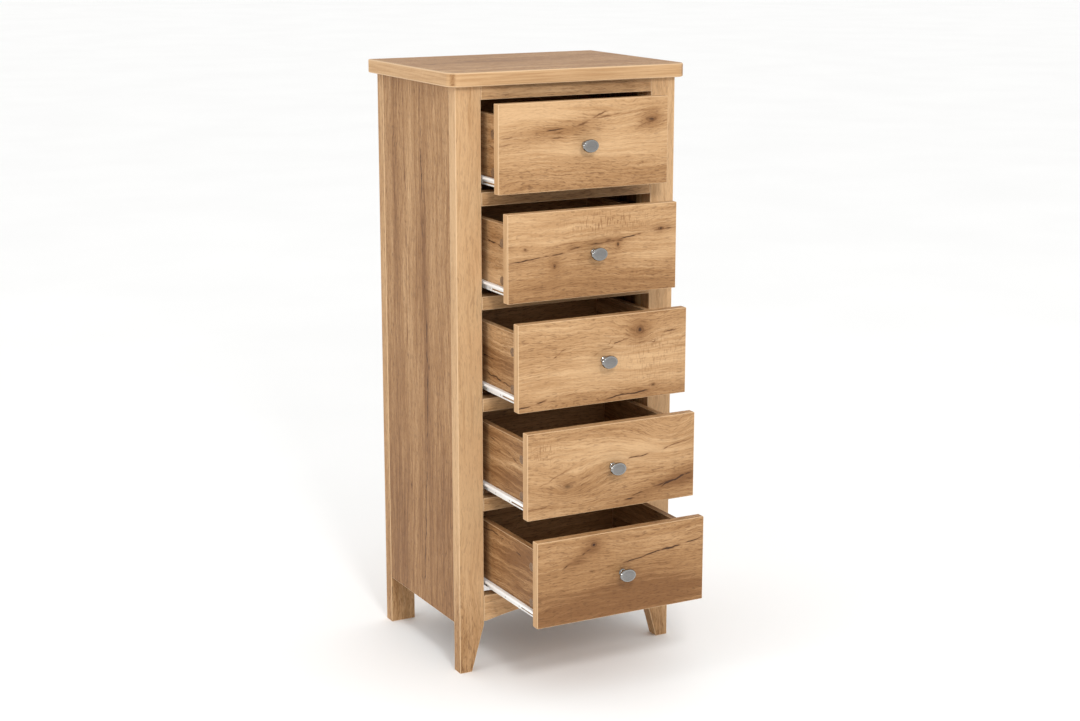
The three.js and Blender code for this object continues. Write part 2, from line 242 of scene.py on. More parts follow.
def board(name, outline, axis, start, end, radius=EASE):
    return weighted(new_object(name, ease(prism(outline, axis, start, end), radius)))


def board_of(node, radius=EASE):
    """An eased board that fills a CAD node's box."""
    low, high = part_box(node)
    return board(node + "_board", rectangle(low, high), Z, low.z, high.z, radius)


def turning(name, profile, centre, axis, sides=48, stretch=1.0):
    """A closed turning: profile is (radius, distance) pairs from axis to axis, along +axis from centre.

    stretch widens it along the first of the other two axes."""
    bm = bmesh.new()
    angles = [2 * math.pi * i / sides for i in range(sides)]
    rings = []
    for radius, distance in profile:
        ring = [(radius * stretch * math.cos(angle), radius * math.sin(angle)) for angle in angles]
        if radius == 0:
            ring = [(0, 0)]
        rings.append([bm.verts.new(Vector(centre) + Vector(placed(axis, distance, p, q))) for p, q in ring])
    for low, high in zip(rings, rings[1:]):
        for i in range(sides):
            j = (i + 1) % sides
            if len(low) == 1:
                bm.faces.new((low[0], high[j], high[i]))
            elif len(high) == 1:
                bm.faces.new((low[i], low[j], high[0]))
            else:
                bm.faces.new((low[i], low[j], high[j], high[i]))
    return new_object(name, bm)


def settle(obj, body, slot, material, *nodes):
    """Gives a finished piece its material and its body, and hides the CAD nodes it stands for; slot is not
    used.
    """
    obj.data.materials.clear()
    obj.data.materials.append(material)
    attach(obj, body)
    if nodes:
        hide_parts(*nodes)


# ---- fields: arithmetic on shader sockets ----


class Field:
    """A number that varies over a surface: one socket of a node tree."""

    def __init__(self, tree, socket):
        self.tree = tree
        self.socket = socket

    def maths(self, operation, *others):
        node = self.tree.nodes.new("ShaderNodeMath")
        node.operation = operation
        for place, value in zip(node.inputs, (self, *others)):
            join(self.tree, value, place)
        return Field(self.tree, node.outputs[0])

    __add__ = partialmethod(maths, "ADD")
    __sub__ = partialmethod(maths, "SUBTRACT")
    __mul__ = partialmethod(maths, "MULTIPLY")
    __truediv__ = partialmethod(maths, "DIVIDE")
    __abs__ = partialmethod(maths, "ABSOLUTE")
    most = partialmethod(maths, "MAXIMUM")
    root = partialmethod(maths, "SQRT")

    def __rsub__(self, other):
        return (self * -1) + other

    def wave(self):
        """A sine, from 0 to 1."""
        return self.maths("SINE") * 0.5 + 0.5

    def fading(self):
        """exp(-x)."""
        return (self * -1).maths("EXPONENT")

    def smooth(self, low, high):
        """0 at low, 1 at high, with a smooth turn at both; low may be the larger."""
        node = self.tree.nodes.new("ShaderNodeMapRange")
        node.interpolation_type = "SMOOTHSTEP"
        join(self.tree, self, node.inputs["Value"])
        join(self.tree, low, node.inputs["From Min"])
        join(self.tree, high, node.inputs["From Max"])
        return Field(self.tree, node.outputs["Result"])


def join(tree, value, place):
    if isinstance(value, Field):
        tree.links.new(value.socket, place)
    else:
        place.default_value = value


def noise(l, a, d, detail=1.0, roughness=0.5):
    """Soft noise at a place given by three fields, about 0.5."""
    tree = l.tree
    place = tree.nodes.new("ShaderNodeCombineXYZ")
    for value, socket in zip((l, a, d), place.inputs):
        join(tree, value, socket)
    node = tree.nodes.new("ShaderNodeTexNoise")
    node.inputs["Scale"].default_value = 1.0
    node.inputs["Detail"].default_value = detail
    node.inputs["Roughness"].default_value = roughness
    tree.links.new(place.outputs[0], node.inputs["Vector"])
    return Field(tree, node.outputs[0])


def linear(rgb):
    """An sRGB colour, 0 to 255, as the linear colour that a shader takes."""
    def channel(c):
        c = c / 255
        return c / 12.92 if c <= 0.04045 else ((c + 0.055) / 1.055) ** 2.4
    return (*(channel(c) for c in rgb), 1.0)


def blended(factor, first, second):
    """Mixes two colours, each a colour or a socket, by a field."""
    tree = factor.tree
    node = tree.nodes.new("ShaderNodeMix")
    node.data_type = "RGBA"
    node.clamp_factor = True
    join(tree, factor, node.inputs[0])
    for colour, socket in ((first, node.inputs[6]), (second, node.inputs[7])):
        if isinstance(colour, bpy.types.NodeSocket):
            tree.links.new(colour, socket)
        else:
            socket.default_value = colour
    return node.outputs[2]


def fields_of(tree, output):
    """The three parts of a texture coordinate; Object gives x, y and z in the row frame at rest."""
    source = tree.nodes.new("ShaderNodeTexCoord")
    split = tree.nodes.new("ShaderNodeSeparateXYZ")
    tree.links.new(source.outputs[output], split.inputs[0])
    return [Field(tree, socket) for socket in split.outputs]


def new_material(name):
    """A material, and the fields of x, y and z."""
    material = bpy.data.materials.new(name)
    material.use_nodes = True
    return material, fields_of(material.node_tree, "Object")


def finished(material, colour, rough, height=None, relief=0.0, specular=None, metallic=0.0):
    """Plugs a colour, a roughness and a height field, as a relief of so many metres, into a material."""
    tree = material.node_tree
    shader = tree.nodes["Principled BSDF"]
    tree.links.new(colour, shader.inputs["Base Color"])
    join(tree, rough, shader.inputs["Roughness"])
    shader.inputs["Metallic"].default_value = metallic
    if specular is not None:
        shader.inputs["Specular IOR Level"].default_value = specular
    if height is not None:
        node = tree.nodes.new("ShaderNodeBump")
        node.inputs["Strength"].default_value = 1.0
        node.inputs["Distance"].default_value = relief
        join(tree, height, node.inputs["Height"])
        tree.links.new(node.outputs[0], shader.inputs["Normal"])
    return material


# ---- colours ----

OAK_PALE = linear((205, 167, 124))
OAK_HONEY = linear((185, 145, 102))
OAK_TAN = linear((163, 122, 80))
OAK_BROWN = linear((128, 88, 52))
OAK_UMBER = linear((92, 58, 33))
OAK_CRACK = linear((54, 33, 19))
OAK_WEAR_AND_HIGHLIGHT = linear((228, 196, 156))
BOARD_LIGHT = linear((174, 134, 93))
BOARD_TAN = linear((150, 110, 71))
BOARD_BROWN = linear((132, 93, 58))
PINE_LIGHT = linear((222, 190, 140))
PINE_RING = linear((190, 148, 96))
PINE_SAWN = linear((160, 120, 76))
ENAMEL_WHITE = linear((244, 244, 242))
ENAMEL_DUSTY = linear((232, 231, 228))
ENAMEL_RUBBED = linear((196, 196, 194))
NYLON_WHITE = linear((236, 236, 232))
NYLON_WORN = linear((214, 213, 208))
CAP_LIGHT = linear((138, 106, 76))
CAP_DARK = linear((114, 86, 60))
NICKEL_FACE = (142, 140, 138)
NICKEL_RIM = (150, 149, 147)
ZINC = (186, 188, 190)
FLOOR_LIGHT = linear((254, 254, 253))
FLOOR_DARK = linear((251, 251, 250))


# ---- oak ----

OAK_RELIEF = 0.12 * MM

# How far the grain, and the streaks over it, wander from a straight line
MEANDER = 34 * MM
SWAY = 12 * MM
RIPPLE = 6.5 * MM
STREAK_SWAY = 16 * MM
STREAK_RIPPLE = 10 * MM


class Knot(namedtuple("Knot", "l a radius long dark push", defaults=(1.6, 1.0, 0.75))):
    """A knot at (l, a) along and across the grain, with its radius across the grain."""

    def nearness(self, along, side):
        """The square of the distance from the knot's middle, 1 at its edge."""
        u = (along - self.l) / (self.radius * self.long)
        v = (side - self.a) / self.radius
        return u * u + v * v


class Patch(namedtuple("Patch", "l a half_l half_a depth tilt", defaults=(1.0, 0.0))):
    """A soft browner area centred on (l, a), with its half sizes; a negative depth makes it paler."""

    def spread(self, along, side):
        u = (along - self.l) / self.half_l
        v = (side - self.a - (along - self.l) * self.tilt) / self.half_a
        return (u * u + v * v).fading()


# A dark vein from (l0, a0) to (l1, a1), bowed sideways in the middle
Streak = namedtuple("Streak", "l0 a0 l1 a1 width bow dark waver", defaults=(0.0, 1.0, 1.0))

# What is drawn on a board besides its plain grain. Rays are patches of short cross flecks, and arches are
# patches where the growth rings bend in nested curves, with their rise in metres as their depth.
Figure = namedtuple("Figure", "knots streaks patches rays arches", defaults=((),) * 5)


def total(fields):
    result = fields[0]
    for field in fields[1:]:
        result = result + field
    return result


class Wood:
    """What grows in one board of oak: fields over the places along, across and through its grain.

    The factors inside noise() are features per metre."""

    def __init__(self, along, side, depth, seed, figure):
        self.along, self.side, self.depth, self.seed, self.figure = along, side, depth, seed, figure
        self.sway = noise(along * 11 + seed, side * 24, depth * 10)
        self.ripple = noise(along * 42, side * 75 + seed, depth * 20, detail=2)
        self.nearness = [knot.nearness(along, side) for knot in figure.knots]
        flow = self.bent_grain()
        self.broad = noise(flow * 34, along * 1.4 + seed, depth * 12, detail=2)
        self.bands = noise(flow * 130, along * 4 + seed, depth * 30, detail=2, roughness=0.6)
        self.lines = noise(flow * 420, along * 20, depth * 90 + seed)
        dashes = noise(along * 34 + seed, flow * 330, depth * 150, detail=2, roughness=0.6)
        self.dashes = dashes.smooth(0.50, 0.66)
        self.ticks = noise(along * 66 + seed, flow * 480, depth * 210).smooth(0.56, 0.66)
        self.pores = noise(along * 140, flow * 1300 + seed, depth * 500, detail=0).smooth(0.60, 0.74)

    def bent_grain(self):
        """The place across the grain, pushed aside by knots, bent by arches and wandering a little."""
        flow = self.side
        for q, knot in zip(self.nearness, self.figure.knots):
            flow = flow - (self.side - knot.a) * ((q / 6).fading() * knot.push)
        for arch in self.figure.arches:
            flow = flow + arch.spread(self.along, self.side) * arch.depth
        meander = noise(self.along * 2.6 + self.seed, self.side * 9, self.depth * 6)
        return flow + (meander - 0.5) * MEANDER + (self.sway - 0.5) * SWAY + (self.ripple - 0.5) * RIPPLE

    def plain(self, tone, contrast):
        """Colour of the growth rings, with dashes gathered where the wood is brown and pores everywhere."""
        along, side, depth, seed = self.along, self.side, self.depth, self.seed
        cloud = noise(along * 4 + seed, side * 13, depth * 10, detail=2)
        brown = (cloud - 0.5) * 1.2 + (self.broad - 0.5) * (1.7 * contrast) + tone
        for patch in self.figure.patches:
            brown = brown + patch.spread(along, side) * patch.depth
        gather = brown.smooth(-0.35, 0.75)
        tint = brown * 0.5 + (self.bands - 0.5) * (1.1 * contrast) + (self.lines - 0.5) * (0.7 * contrast)
        tint = tint + 0.40
        colour = blended(tint.smooth(0.05, 0.60), OAK_PALE, OAK_HONEY)
        colour = blended(tint.smooth(0.45, 1.05), colour, OAK_TAN)
        colour = blended(tint.smooth(0.95, 1.6), colour, OAK_BROWN)
        colour = blended(self.dashes * (gather * 0.34 + 0.08), colour, OAK_BROWN)
        colour = blended(self.ticks * (gather * 0.28 + 0.17), colour, OAK_UMBER)
        colour = blended(self.pores * (gather * 0.22 + 0.12), colour, OAK_UMBER)
        for patch in self.figure.rays:
            strokes = noise(along * 330 + seed, side * 70, depth * 60).smooth(0.55, 0.63)
            colour = blended(strokes * patch.spread(along, side) * patch.depth, colour, OAK_BROWN)
        return colour

    def relief(self):
        return total([self.lines * 0.12, self.dashes * -0.25, self.ticks * -0.4, self.pores * -0.7])

    def rough(self):
        return self.dashes * 0.08 + self.pores * 0.08 + self.bands * 0.08 + 0.50

    def mark(self, index, streak):
        """How strongly a streak shows: a broken dark core in a soft halo."""
        t = (self.along - streak.l0) / (streak.l1 - streak.l0)
        centre = t * (streak.a1 - streak.a0) + streak.a0 + t * (1 - t) * (4 * streak.bow)
        centre = centre + (self.ripple - 0.5) * (STREAK_RIPPLE * streak.waver)
        centre = centre + (self.sway - 0.5) * (STREAK_SWAY * streak.waver)
        off = abs(self.side - centre) / streak.width
        window = t.smooth(-0.04, 0.12) * t.smooth(1.04, 0.82)
        pulse = noise(self.along * 24 + self.seed + index * 3.7, self.side * 50, self.depth * 20, detail=2)
        core = off.smooth(1.1, 0.2) * pulse.smooth(0.40, 0.60) * 0.8
        halo = (off * 0.30).fading() * (pulse.smooth(0.30, 0.65) * 0.28 + 0.22)
        return (core + halo) * window * streak.dark

    def with_veins(self, colour, height):
        vein = None
        for index, streak in enumerate(self.figure.streaks):
            mark = self.mark(index, streak)
            vein = mark if vein is None else vein.most(mark)
        if vein is None:
            return colour, height
        colour = blended(vein.smooth(0.0, 0.75) * 0.8, colour, OAK_BROWN)
        colour = blended(vein.smooth(0.4, 0.9) * 0.7, colour, OAK_UMBER)
        colour = blended(vein.smooth(0.7, 1.0) * 0.8, colour, OAK_CRACK)
        return colour, height - vein * 0.9

    def with_knots(self, colour, height):
        for q, knot in zip(self.nearness, self.figure.knots):
            edge = q.root() + (self.ripple - 0.5) * 1.3
            rings = (q.root() * 7 + self.lines * 3).wave()
            core = blended(rings * 0.7, OAK_BROWN, OAK_UMBER)
            colour = blended((q / 5).fading() * (0.7 * knot.dark), colour, OAK_BROWN)
            colour = blended(edge.smooth(1.2, 0.8) * (0.9 * knot.dark), colour, core)
            colour = blended(edge.smooth(0.65, 0.2) * knot.dark, colour, OAK_CRACK)
            height = height - edge.smooth(1.2, 0.7) * 0.5
        return colour, height


def with_edging(colour, tree, axes, seed, edged, fine):
    """Covers the faces that look along the edged axes with plain edging, its lines set off along fine."""
    normal = fields_of(tree, "Normal")
    facing = total([abs(normal[i]).smooth(0.75, 0.92) for i in edged])
    streaky = noise(*[axes[i] * (420 if i == fine else 9) + seed for i in range(3)], detail=2)
    plain = blended(streaky.smooth(0.35, 0.68), OAK_PALE, OAK_HONEY)
    return blended(facing * 0.85, colour, plain)


def oak(name, grain, seed, across, figure=Figure(), face=(0, 0, 0), tone=0.0, contrast=1.0, edging=None):
    """Oak with its grain along an axis (X, Y or Z).

    across gives the weights of x, y and z that count as across the grain, measured from the point face.
    tone darkens the whole, and contrast strengthens its bands. edging is (axes, axis): which faces carry
    plain edging, and which way its fine lines follow each other."""
    material, places = new_material(name)
    tree = material.node_tree
    axes = [place - start for place, start in zip(places, face)]
    side = total([axes[i] * across[i] for i in range(3) if across[i]])
    depth = axes[min((i for i in range(3) if i != grain), key=lambda i: across[i])]
    wood = Wood(axes[grain], side, depth, seed, figure)
    colour, height = wood.with_veins(wood.plain(tone, contrast), wood.relief())
    colour, height = wood.with_knots(colour, height)
    if edging is not None:
        colour = with_edging(colour, tree, axes, seed, *edging)
    # the rounded edges go paler: partly rubbed foil, partly a painted highlight where they catch the light
    wear_and_highlight = eased_field(tree)
    colour = blended(wear_and_highlight * (wood.bands * 0.5 + 0.35), colour, OAK_WEAR_AND_HIGHLIGHT)
    return finished(material, colour, wood.rough() - wear_and_highlight * 0.08, height, OAK_RELIEF, specular=0.24)


def eased_field(tree):
    """1 on the rounded edges of a board, 0 on its faces."""
    node = tree.nodes.new("ShaderNodeAttribute")
    node.attribute_name = EASED
    return Field(tree, node.outputs["Fac"])


def drawn(place, unit_l, unit_a, knots=(), streaks=(), patches=(), rays=(), arches=()):
    """A figure from rows that start with one or two pairs, which place() turns into (l, a).

    Areas go on with half sizes in the two units, and knots and streaks with a size in mm."""
    def areas(rows, rise=1.0):
        return [
            Patch(*place(p, q), half_l * unit_l, half_a * unit_a, depth * rise, *rest)
            for p, q, half_l, half_a, depth, *rest in rows
        ]

    return Figure(
        knots=[Knot(*place(p, q), radius * MM, *rest) for p, q, radius, *rest in knots],
        streaks=[
            Streak(*place(p0, q0), *place(p1, q1), width * MM, bow * MM, *rest)
            for p0, q0, p1, q1, width, bow, *rest in streaks
        ],
        patches=areas(patches),
        rays=areas(rays),
        arches=areas(arches, MM),
    )


FRONT_SHADE_TONES = (0.15, 0.3, 0.25, 0.45, 0.8)  # painted shade: the lower fronts are browner, for the light that falls off towards the floor
SIDE_SHADE_TONES = (0.6, 0.4, 0.75, 1.2, 1.4)  # and painted shade makes the sides of the lower drawers browner still


# The figures of the drawer fronts, top drawer first, in parts of the front's size from its top left
FRONT_FIGURES = (
    dict(
        knots=[(0.90, 0.25, 4.5, 2.6, 0.7)],
        streaks=[
            (-0.02, 0.40, 0.42, 0.30, 1.6, 3, 0.85, 0.5), (-0.02, 0.47, 0.40, 0.40, 1.5, 2, 0.75, 0.5),
            (0.30, 0.36, 0.66, 0.12, 2.2, -3, 0.6), (0.52, 0.24, 0.98, 0.12, 1.8, 2, 0.5),
            (0.80, 0.36, 0.98, 0.18, 2.4, 1, 0.75),
        ],
        patches=[
            (0.36, 0.32, 0.24, 0.11, 1.3, 0.10), (0.5, 0.94, 0.9, 0.24, 0.9),
            (0.90, 0.25, 0.07, 0.12, 1.2), (0.6, 0.55, 0.5, 0.15, -0.7), (0.15, 0.12, 0.3, 0.12, -0.5),
        ],
        arches=[(0.62, 0.30, 0.30, 0.22, 12), (0.15, 0.75, 0.35, 0.25, -9)],
    ),
    dict(
        knots=[
            (0.27, 0.62, 4.6, 0.7, 0.9), (0.645, 0.43, 4.2, 0.6, 0.9), (0.59, 0.37, 2.2, 2.4, 0.8),
            (0.905, 0.29, 3.4, 1.8, 1.0), (0.10, 0.40, 2.4, 1.2, 0.7),
        ],
        streaks=[
            (-0.02, 0.53, 0.42, 0.46, 1.5, -2, 0.95, 0.5), (0.34, 0.47, 0.72, 0.36, 2.0, 3, 1.0, 0.8),
            (0.64, 0.36, 1.02, 0.29, 1.4, 1, 0.95, 0.6), (0.22, 0.48, 0.28, 0.64, 1.8, 0, 0.6, 0.3),
            (0.24, 0.44, 0.60, 0.33, 2.6, 2, 0.55),
        ],
        patches=[
            (0.5, 0.92, 0.8, 0.26, 1.25), (0.27, 0.60, 0.05, 0.10, 0.9), (0.645, 0.43, 0.04, 0.10, 0.8),
            (0.85, 0.60, 0.2, 0.08, -0.9), (0.4, 0.22, 0.5, 0.14, -0.5), (0.42, 0.42, 0.2, 0.06, 0.8, 0.12),
        ],
        rays=[(0.58, 0.17, 0.22, 0.12, 0.75)],
        arches=[(0.80, 0.20, 0.25, 0.25, 10), (0.35, 0.85, 0.4, 0.2, -8)],
    ),
    dict(
        knots=[(0.715, 0.20, 8.0, 1.0, 0.85), (0.80, 0.86, 3.0, 1.6, 0.6)],
        streaks=[
            (-0.02, 0.95, 0.17, 0.88, 1.7, -1, 1.0, 0.5), (0.45, 0.98, 0.80, 0.92, 1.9, 1, 1.0, 0.8),
            (0.70, 0.27, 0.38, 0.52, 2.0, 4, 0.75, 2.2), (0.95, 0.24, 0.62, 0.42, 1.8, 2, 0.7, 2.2),
            (0.28, 0.32, 0.20, 0.42, 1.8, 0, 0.7, 1.6), (0.68, 0.26, 0.44, 0.34, 1.6, 1, 0.6, 2.2),
        ],
        patches=[
            (0.715, 0.20, 0.06, 0.14, 1.1), (0.6, 1.0, 0.5, 0.14, 1.1), (0.15, 0.35, 0.2, 0.3, 0.3),
            (0.5, 0.60, 0.5, 0.22, -0.5), (0.30, 0.12, 0.3, 0.10, -0.4),
        ],
        rays=[(0.80, 0.50, 0.18, 0.30, 0.4)],
        arches=[(0.72, 0.20, 0.20, 0.30, 14), (0.25, 0.75, 0.45, 0.3, -10)],
    ),
    dict(
        knots=[(0.23, 0.66, 5.0, 2.4, 0.45)],
        streaks=[
            (0.56, 0.46, 1.02, 0.27, 1.7, -3, 0.85), (0.56, 0.95, 1.02, 0.68, 2.6, -3, 1.0),
            (0.30, 0.60, 0.60, 0.52, 1.7, 2, 0.55), (-0.02, 0.90, 0.25, 0.80, 1.6, 1, 0.5),
            (0.6, 0.9, 0.98, 0.74, 2.2, 2, 0.7), (0.06, 0.62, 0.26, 0.44, 1.6, 1, 0.45),
        ],
        patches=[
            (0.95, 0.74, 0.12, 0.12, 1.4), (0.3, 0.70, 0.25, 0.2, 0.5), (0.75, 0.85, 0.3, 0.1, 0.9, 0.3),
            (0.45, 0.35, 0.3, 0.15, -0.5), (0.75, 0.30, 0.2, 0.2, -0.3),
        ],
        rays=[(0.10, 0.22, 0.08, 0.12, 0.6)],
        arches=[(0.86, 0.22, 0.22, 0.34, 34), (0.23, 0.66, 0.16, 0.20, 22)],
    ),
    dict(
        knots=[(0.33, 0.12, 4.6, 1.3, 1.0)],
        streaks=[
            (-0.02, 0.46, 0.5, 0.40, 1.6, -2, 0.9, 0.7), (0.46, 0.41, 1.02, 0.25, 1.7, 2, 0.95, 0.7),
            (0.33, 0.14, 0.14, 0.36, 2.6, 1, 0.85, 0.7), (0.7, 0.30, 1.02, 0.42, 1.6, 2, 0.5),
        ],
        patches=[
            (0.5, 0.85, 0.9, 0.35, 1.4), (0.33, 0.14, 0.06, 0.12, 1.0), (0.24, 0.26, 0.08, 0.09, 1.0, 0.4),
            (0.75, 0.2, 0.2, 0.1, -0.6), (0.08, 0.15, 0.15, 0.15, -0.3),
        ],
        arches=[(0.60, 0.15, 0.35, 0.25, 12), (0.55, 0.80, 0.4, 0.3, -10)],
    ),
)


def front_figure(drawer):
    low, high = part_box(f"drawer_{drawer}_front")
    wide, tall = high.x - low.x, high.z - low.z
    rows = FRONT_FIGURES[drawer - 1]
    return drawn(lambda px, pz: (low.x + px * wide, high.z - pz * tall), wide, tall, **rows)


# Veins and bands on the left side of each drawer box, placed by mm behind the front and parts of the height
BOX_STREAKS = (
    [(110, 0.35, 0, 0.50, 1.6, 2, 0.6)],
    [(120, 0.20, 10, 0.34, 1.8, -4, 0.9), (90, 0.62, 0, 0.55, 1.5, 2, 0.6)],
    [(150, 0.48, 10, 0.62, 1.8, 4, 1.0), (130, 0.70, 0, 0.78, 1.8, -3, 0.9)],
    [(180, 0.12, 20, 0.40, 1.8, 3, 0.7), (170, 0.72, 20, 0.80, 1.5, 2, 0.5)],
    [(230, 0.16, 120, 0.10, 1.8, 4, 0.9), (130, 0.10, 20, 0.34, 2.2, 5, 1.0)],
)
BOX_PATCHES = (
    [(60, 0.80, 90, 0.15, 0.5)],
    [(60, 0.22, 60, 0.12, 0.9), (60, 0.80, 80, 0.16, -0.5)],
    [(70, 0.55, 90, 0.10, 0.8), (80, 0.25, 90, 0.12, -0.4)],
    [(90, 0.46, 120, 0.07, -1.1, -0.15), (90, 0.20, 90, 0.14, 0.5), (90, 0.68, 90, 0.12, 0.6)],
    [(70, 0.30, 70, 0.14, 0.9, -0.2), (110, 0.75, 140, 0.14, 0.4)],
)


def box_figure(drawer):
    low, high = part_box(f"drawer_{drawer}_box")
    tall = high.z - low.z
    return drawn(
        lambda behind_front, down: (low.y + behind_front * MM, high.z - down * tall), MM, tall,
        streaks=BOX_STREAKS[drawer - 1], patches=BOX_PATCHES[drawer - 1],
    )


def side_figure(side):
    """Veins that run the height of a side panel, small knots beside them, and painted shade towards the
    floor.
    """
    low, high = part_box(f"{side}_side_panel")
    wide, tall = high.y - low.y, high.z - low.z
    return drawn(
        lambda pz, py: (low.z + pz * tall, high.y - py * wide), tall, wide,
        knots=[(0.74, 0.60, 3.5, 2.2, 0.8), (0.47, 0.66, 2.6, 2.0, 0.7), (0.22, 0.36, 3.0, 2.4, 0.6)],
        streaks=[
            (1.02, 0.56, 0.40, 0.66, 2.0, 5, 0.9), (0.48, 0.64, -0.02, 0.52, 2.0, -6, 0.9),
            (1.02, 0.30, 0.42, 0.34, 1.8, -3, 0.6), (0.7, 0.82, -0.02, 0.86, 1.8, 3, 0.55),
            (0.55, 0.22, -0.02, 0.16, 1.8, 3, 0.5),
        ],
        patches=[
            # the second row, at the foot and across the whole width, is painted shade: the panel browner
            # towards the floor
            (0.6, 0.62, 0.4, 0.06, 0.9), (0.0, 0.5, 0.45, 2, 0.8), (0.7, 0.18, 0.5, 0.07, 0.6),
            (0.5, 0.42, 0.6, 0.05, -0.6),
        ],
    )


def top_figure():
    low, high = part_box("top_panel")
    wide, deep = high.x - low.x, high.y - low.y
    return drawn(
        lambda px, py: (low.x + px * wide, low.y + py * deep), wide, deep,
        knots=[(0.30, 0.62, 4, 2.4, 0.8)],
        streaks=[
            (-0.02, 0.50, 0.62, 0.60, 1.8, 4, 0.8), (0.35, 0.72, 1.02, 0.66, 1.6, -4, 0.7),
            (0.1, 0.25, 0.8, 0.30, 1.3, 3, 0.5),
        ],
        patches=[(0.45, 0.6, 0.4, 0.12, 0.6)],
    )


# ---- the other materials ----


def hardboard():
    """Thin board with a plain brown wood print: fine fibres, little figure."""
    material, (x, y, z) = new_material("hardboard_brown")
    fibres = noise(x * 520, y * 420, z * 14, detail=2)
    cloud = noise(x * 30, y * 9, z * 2, detail=2)
    speckle = noise(x * 900, y * 900, z * 900, detail=0)
    colour = blended(fibres.smooth(0.25, 0.75), BOARD_LIGHT, BOARD_TAN)
    colour = blended(cloud.smooth(0.35, 0.75) * 0.5, colour, BOARD_BROWN)
    colour = blended(speckle.smooth(0.6, 0.8) * 0.25, colour, OAK_UMBER)
    return finished(material, colour, fibres * 0.1 + 0.62, fibres + speckle * 0.4, 0.08 * MM)


def batten():
    """Sawn softwood: straight yellow grain with saw marks across it."""
    material, (x, y, z) = new_material("batten_pine")
    rings = noise(z * 2, x * 190, y * 190, detail=2)
    saw = noise(z * 420, x * 30, y * 30)
    colour = blended(rings.smooth(0.35, 0.65), PINE_LIGHT, PINE_RING)
    colour = blended(saw.smooth(0.55, 0.7) * 0.2, colour, PINE_SAWN)
    return finished(material, colour, saw * 0.1 + 0.7, saw + rings * 0.5, 0.15 * MM)


def white_enamel():
    """White powder coat: faint orange peel, and grey rub marks along the runner's length."""
    material, (x, y, z) = new_material("white_enamel")
    peel = noise(x * 900, y * 900, z * 900)
    rub = noise(x * 300, y * 12, z * 500, detail=2).smooth(0.58, 0.8)
    dust = noise(x * 60, y * 40, z * 60, detail=2)
    colour = blended(dust.smooth(0.4, 0.8) * 0.5, ENAMEL_WHITE, ENAMEL_DUSTY)
    colour = blended(rub * 0.35, colour, ENAMEL_RUBBED)
    return finished(material, colour, rub * 0.2 + 0.32, peel, 0.05 * MM)


def nylon():
    """Off-white moulded nylon, greyer and rougher where it has rolled."""
    material, (x, y, z) = new_material("white_nylon")
    wear = noise(x * 220, y * 160, z * 160, detail=2)
    grain = noise(x * 1400, y * 1400, z * 1400, detail=0)
    colour = blended(wear.smooth(0.4, 0.75), NYLON_WHITE, NYLON_WORN)
    return finished(material, colour, wear * 0.2 + 0.34, grain, 0.03 * MM)


def plated(name, rough, shade, brushed):
    """A plated metal: brushed along x where brushed is near 1, and polished where it is 0."""
    material, (x, y, z) = new_material(name)
    hairs = noise(x * 130, y * 2600, z * 5200)
    cloud = noise(x * 90, y * 90, z * 90, detail=2)
    dark = linear([int(c * 0.86) for c in shade])
    colour = blended(hairs.smooth(0.3, 0.7) * 0.6 * brushed + cloud * 0.15, linear(shade), dark)
    roughness = hairs * (0.16 * brushed) + cloud * 0.05 + rough
    return finished(material, colour, roughness, hairs * brushed + cloud * 0.1, 0.02 * MM, metallic=1.0)


def cam_cap():
    """Brown plastic caps over the cam fixings."""
    material, (x, y, z) = new_material("cam_cap_brown")
    mottle = noise(x * 300, y * 300, z * 300, detail=2)
    colour = blended(mottle.smooth(0.3, 0.7), CAP_LIGHT, CAP_DARK)
    return finished(material, colour, mottle * 0.15 + 0.4, mottle, 0.05 * MM)


# ---- the case ----


def top_board(material):
    low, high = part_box("top_panel")
    r = TOP_CORNER
    outline = [(low.x, high.y)]
    outline += arc((low.x + r, low.y + r), r, 180, 270, 14)
    outline += arc((high.x - r, low.y + r), r, 270, 360, 14)
    outline += [(high.x, high.y)]
    piece = board("top_board", outline, Z, low.z, high.z, TOP_EASE)
    settle(piece, "root", "oak_case", material, "top_panel")


def front_leg(side, material):
    node = f"front_{side}_leg"
    low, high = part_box(node)
    outer, inner = (low.x, high.x) if side == "left" else (high.x, low.x)
    towards = 1 if side == "left" else -1
    outline = [
        (outer, low.z), (outer + towards * FOOT_WIDTH, low.z), (inner, TAPER_HEIGHT),
        (inner, high.z), (outer, high.z),
    ]
    piece = board(node + "_board", outline, Y, low.y, high.y)
    settle(piece, "root", "oak_case", material, node)


def groove_for(node):
    """The groove that a thin board stands in."""
    low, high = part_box(node)
    margin = Vector((CLEAR, CLEAR, CLEAR))
    return block("groove", low - margin, high + margin)


def rear_frame(materials):
    for node, material in materials.items():
        piece = carved(board_of(node), groove_for("back_panel"))
        settle(piece, "root", "oak_case", material, node)


def apron(material):
    low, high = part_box("bottom_rail")
    half = (high.x - low.x) / 2 - APRON_FLAT
    radius = (half ** 2 + APRON_RISE ** 2) / (2 * APRON_RISE)
    swing = math.degrees(math.asin(half / radius))
    centre = ((low.x + high.x) / 2, low.z + APRON_RISE - radius)
    outline = [(high.x, low.z), (high.x, high.z), (low.x, high.z), (low.x, low.z)]
    outline += arc(centre, radius, 90 + swing, 90 - swing, 40)
    piece = board("bottom_rail_board", outline, Y, low.y, high.y)
    settle(piece, "root", "oak_case", material, "bottom_rail")


# ---- the drawers ----


def drawer_front(drawer, material):
    node = f"drawer_{drawer}_front"
    low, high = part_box(node)
    middle = (low + high) / 2
    drill = [(0, -MM), (SCREW_HOLE, -MM), (SCREW_HOLE, high.y - low.y + MM), (0, high.y - low.y + MM)]
    hole = turning("screw_hole", drill, (middle.x, low.y, middle.z), Y, sides=24)
    piece = carved(board_of(node, FRONT_EASE), groove_for(f"drawer_{drawer}_bottom"), hole)
    settle(piece, f"drawer_{drawer}", "oak_drawer_front", material, node)


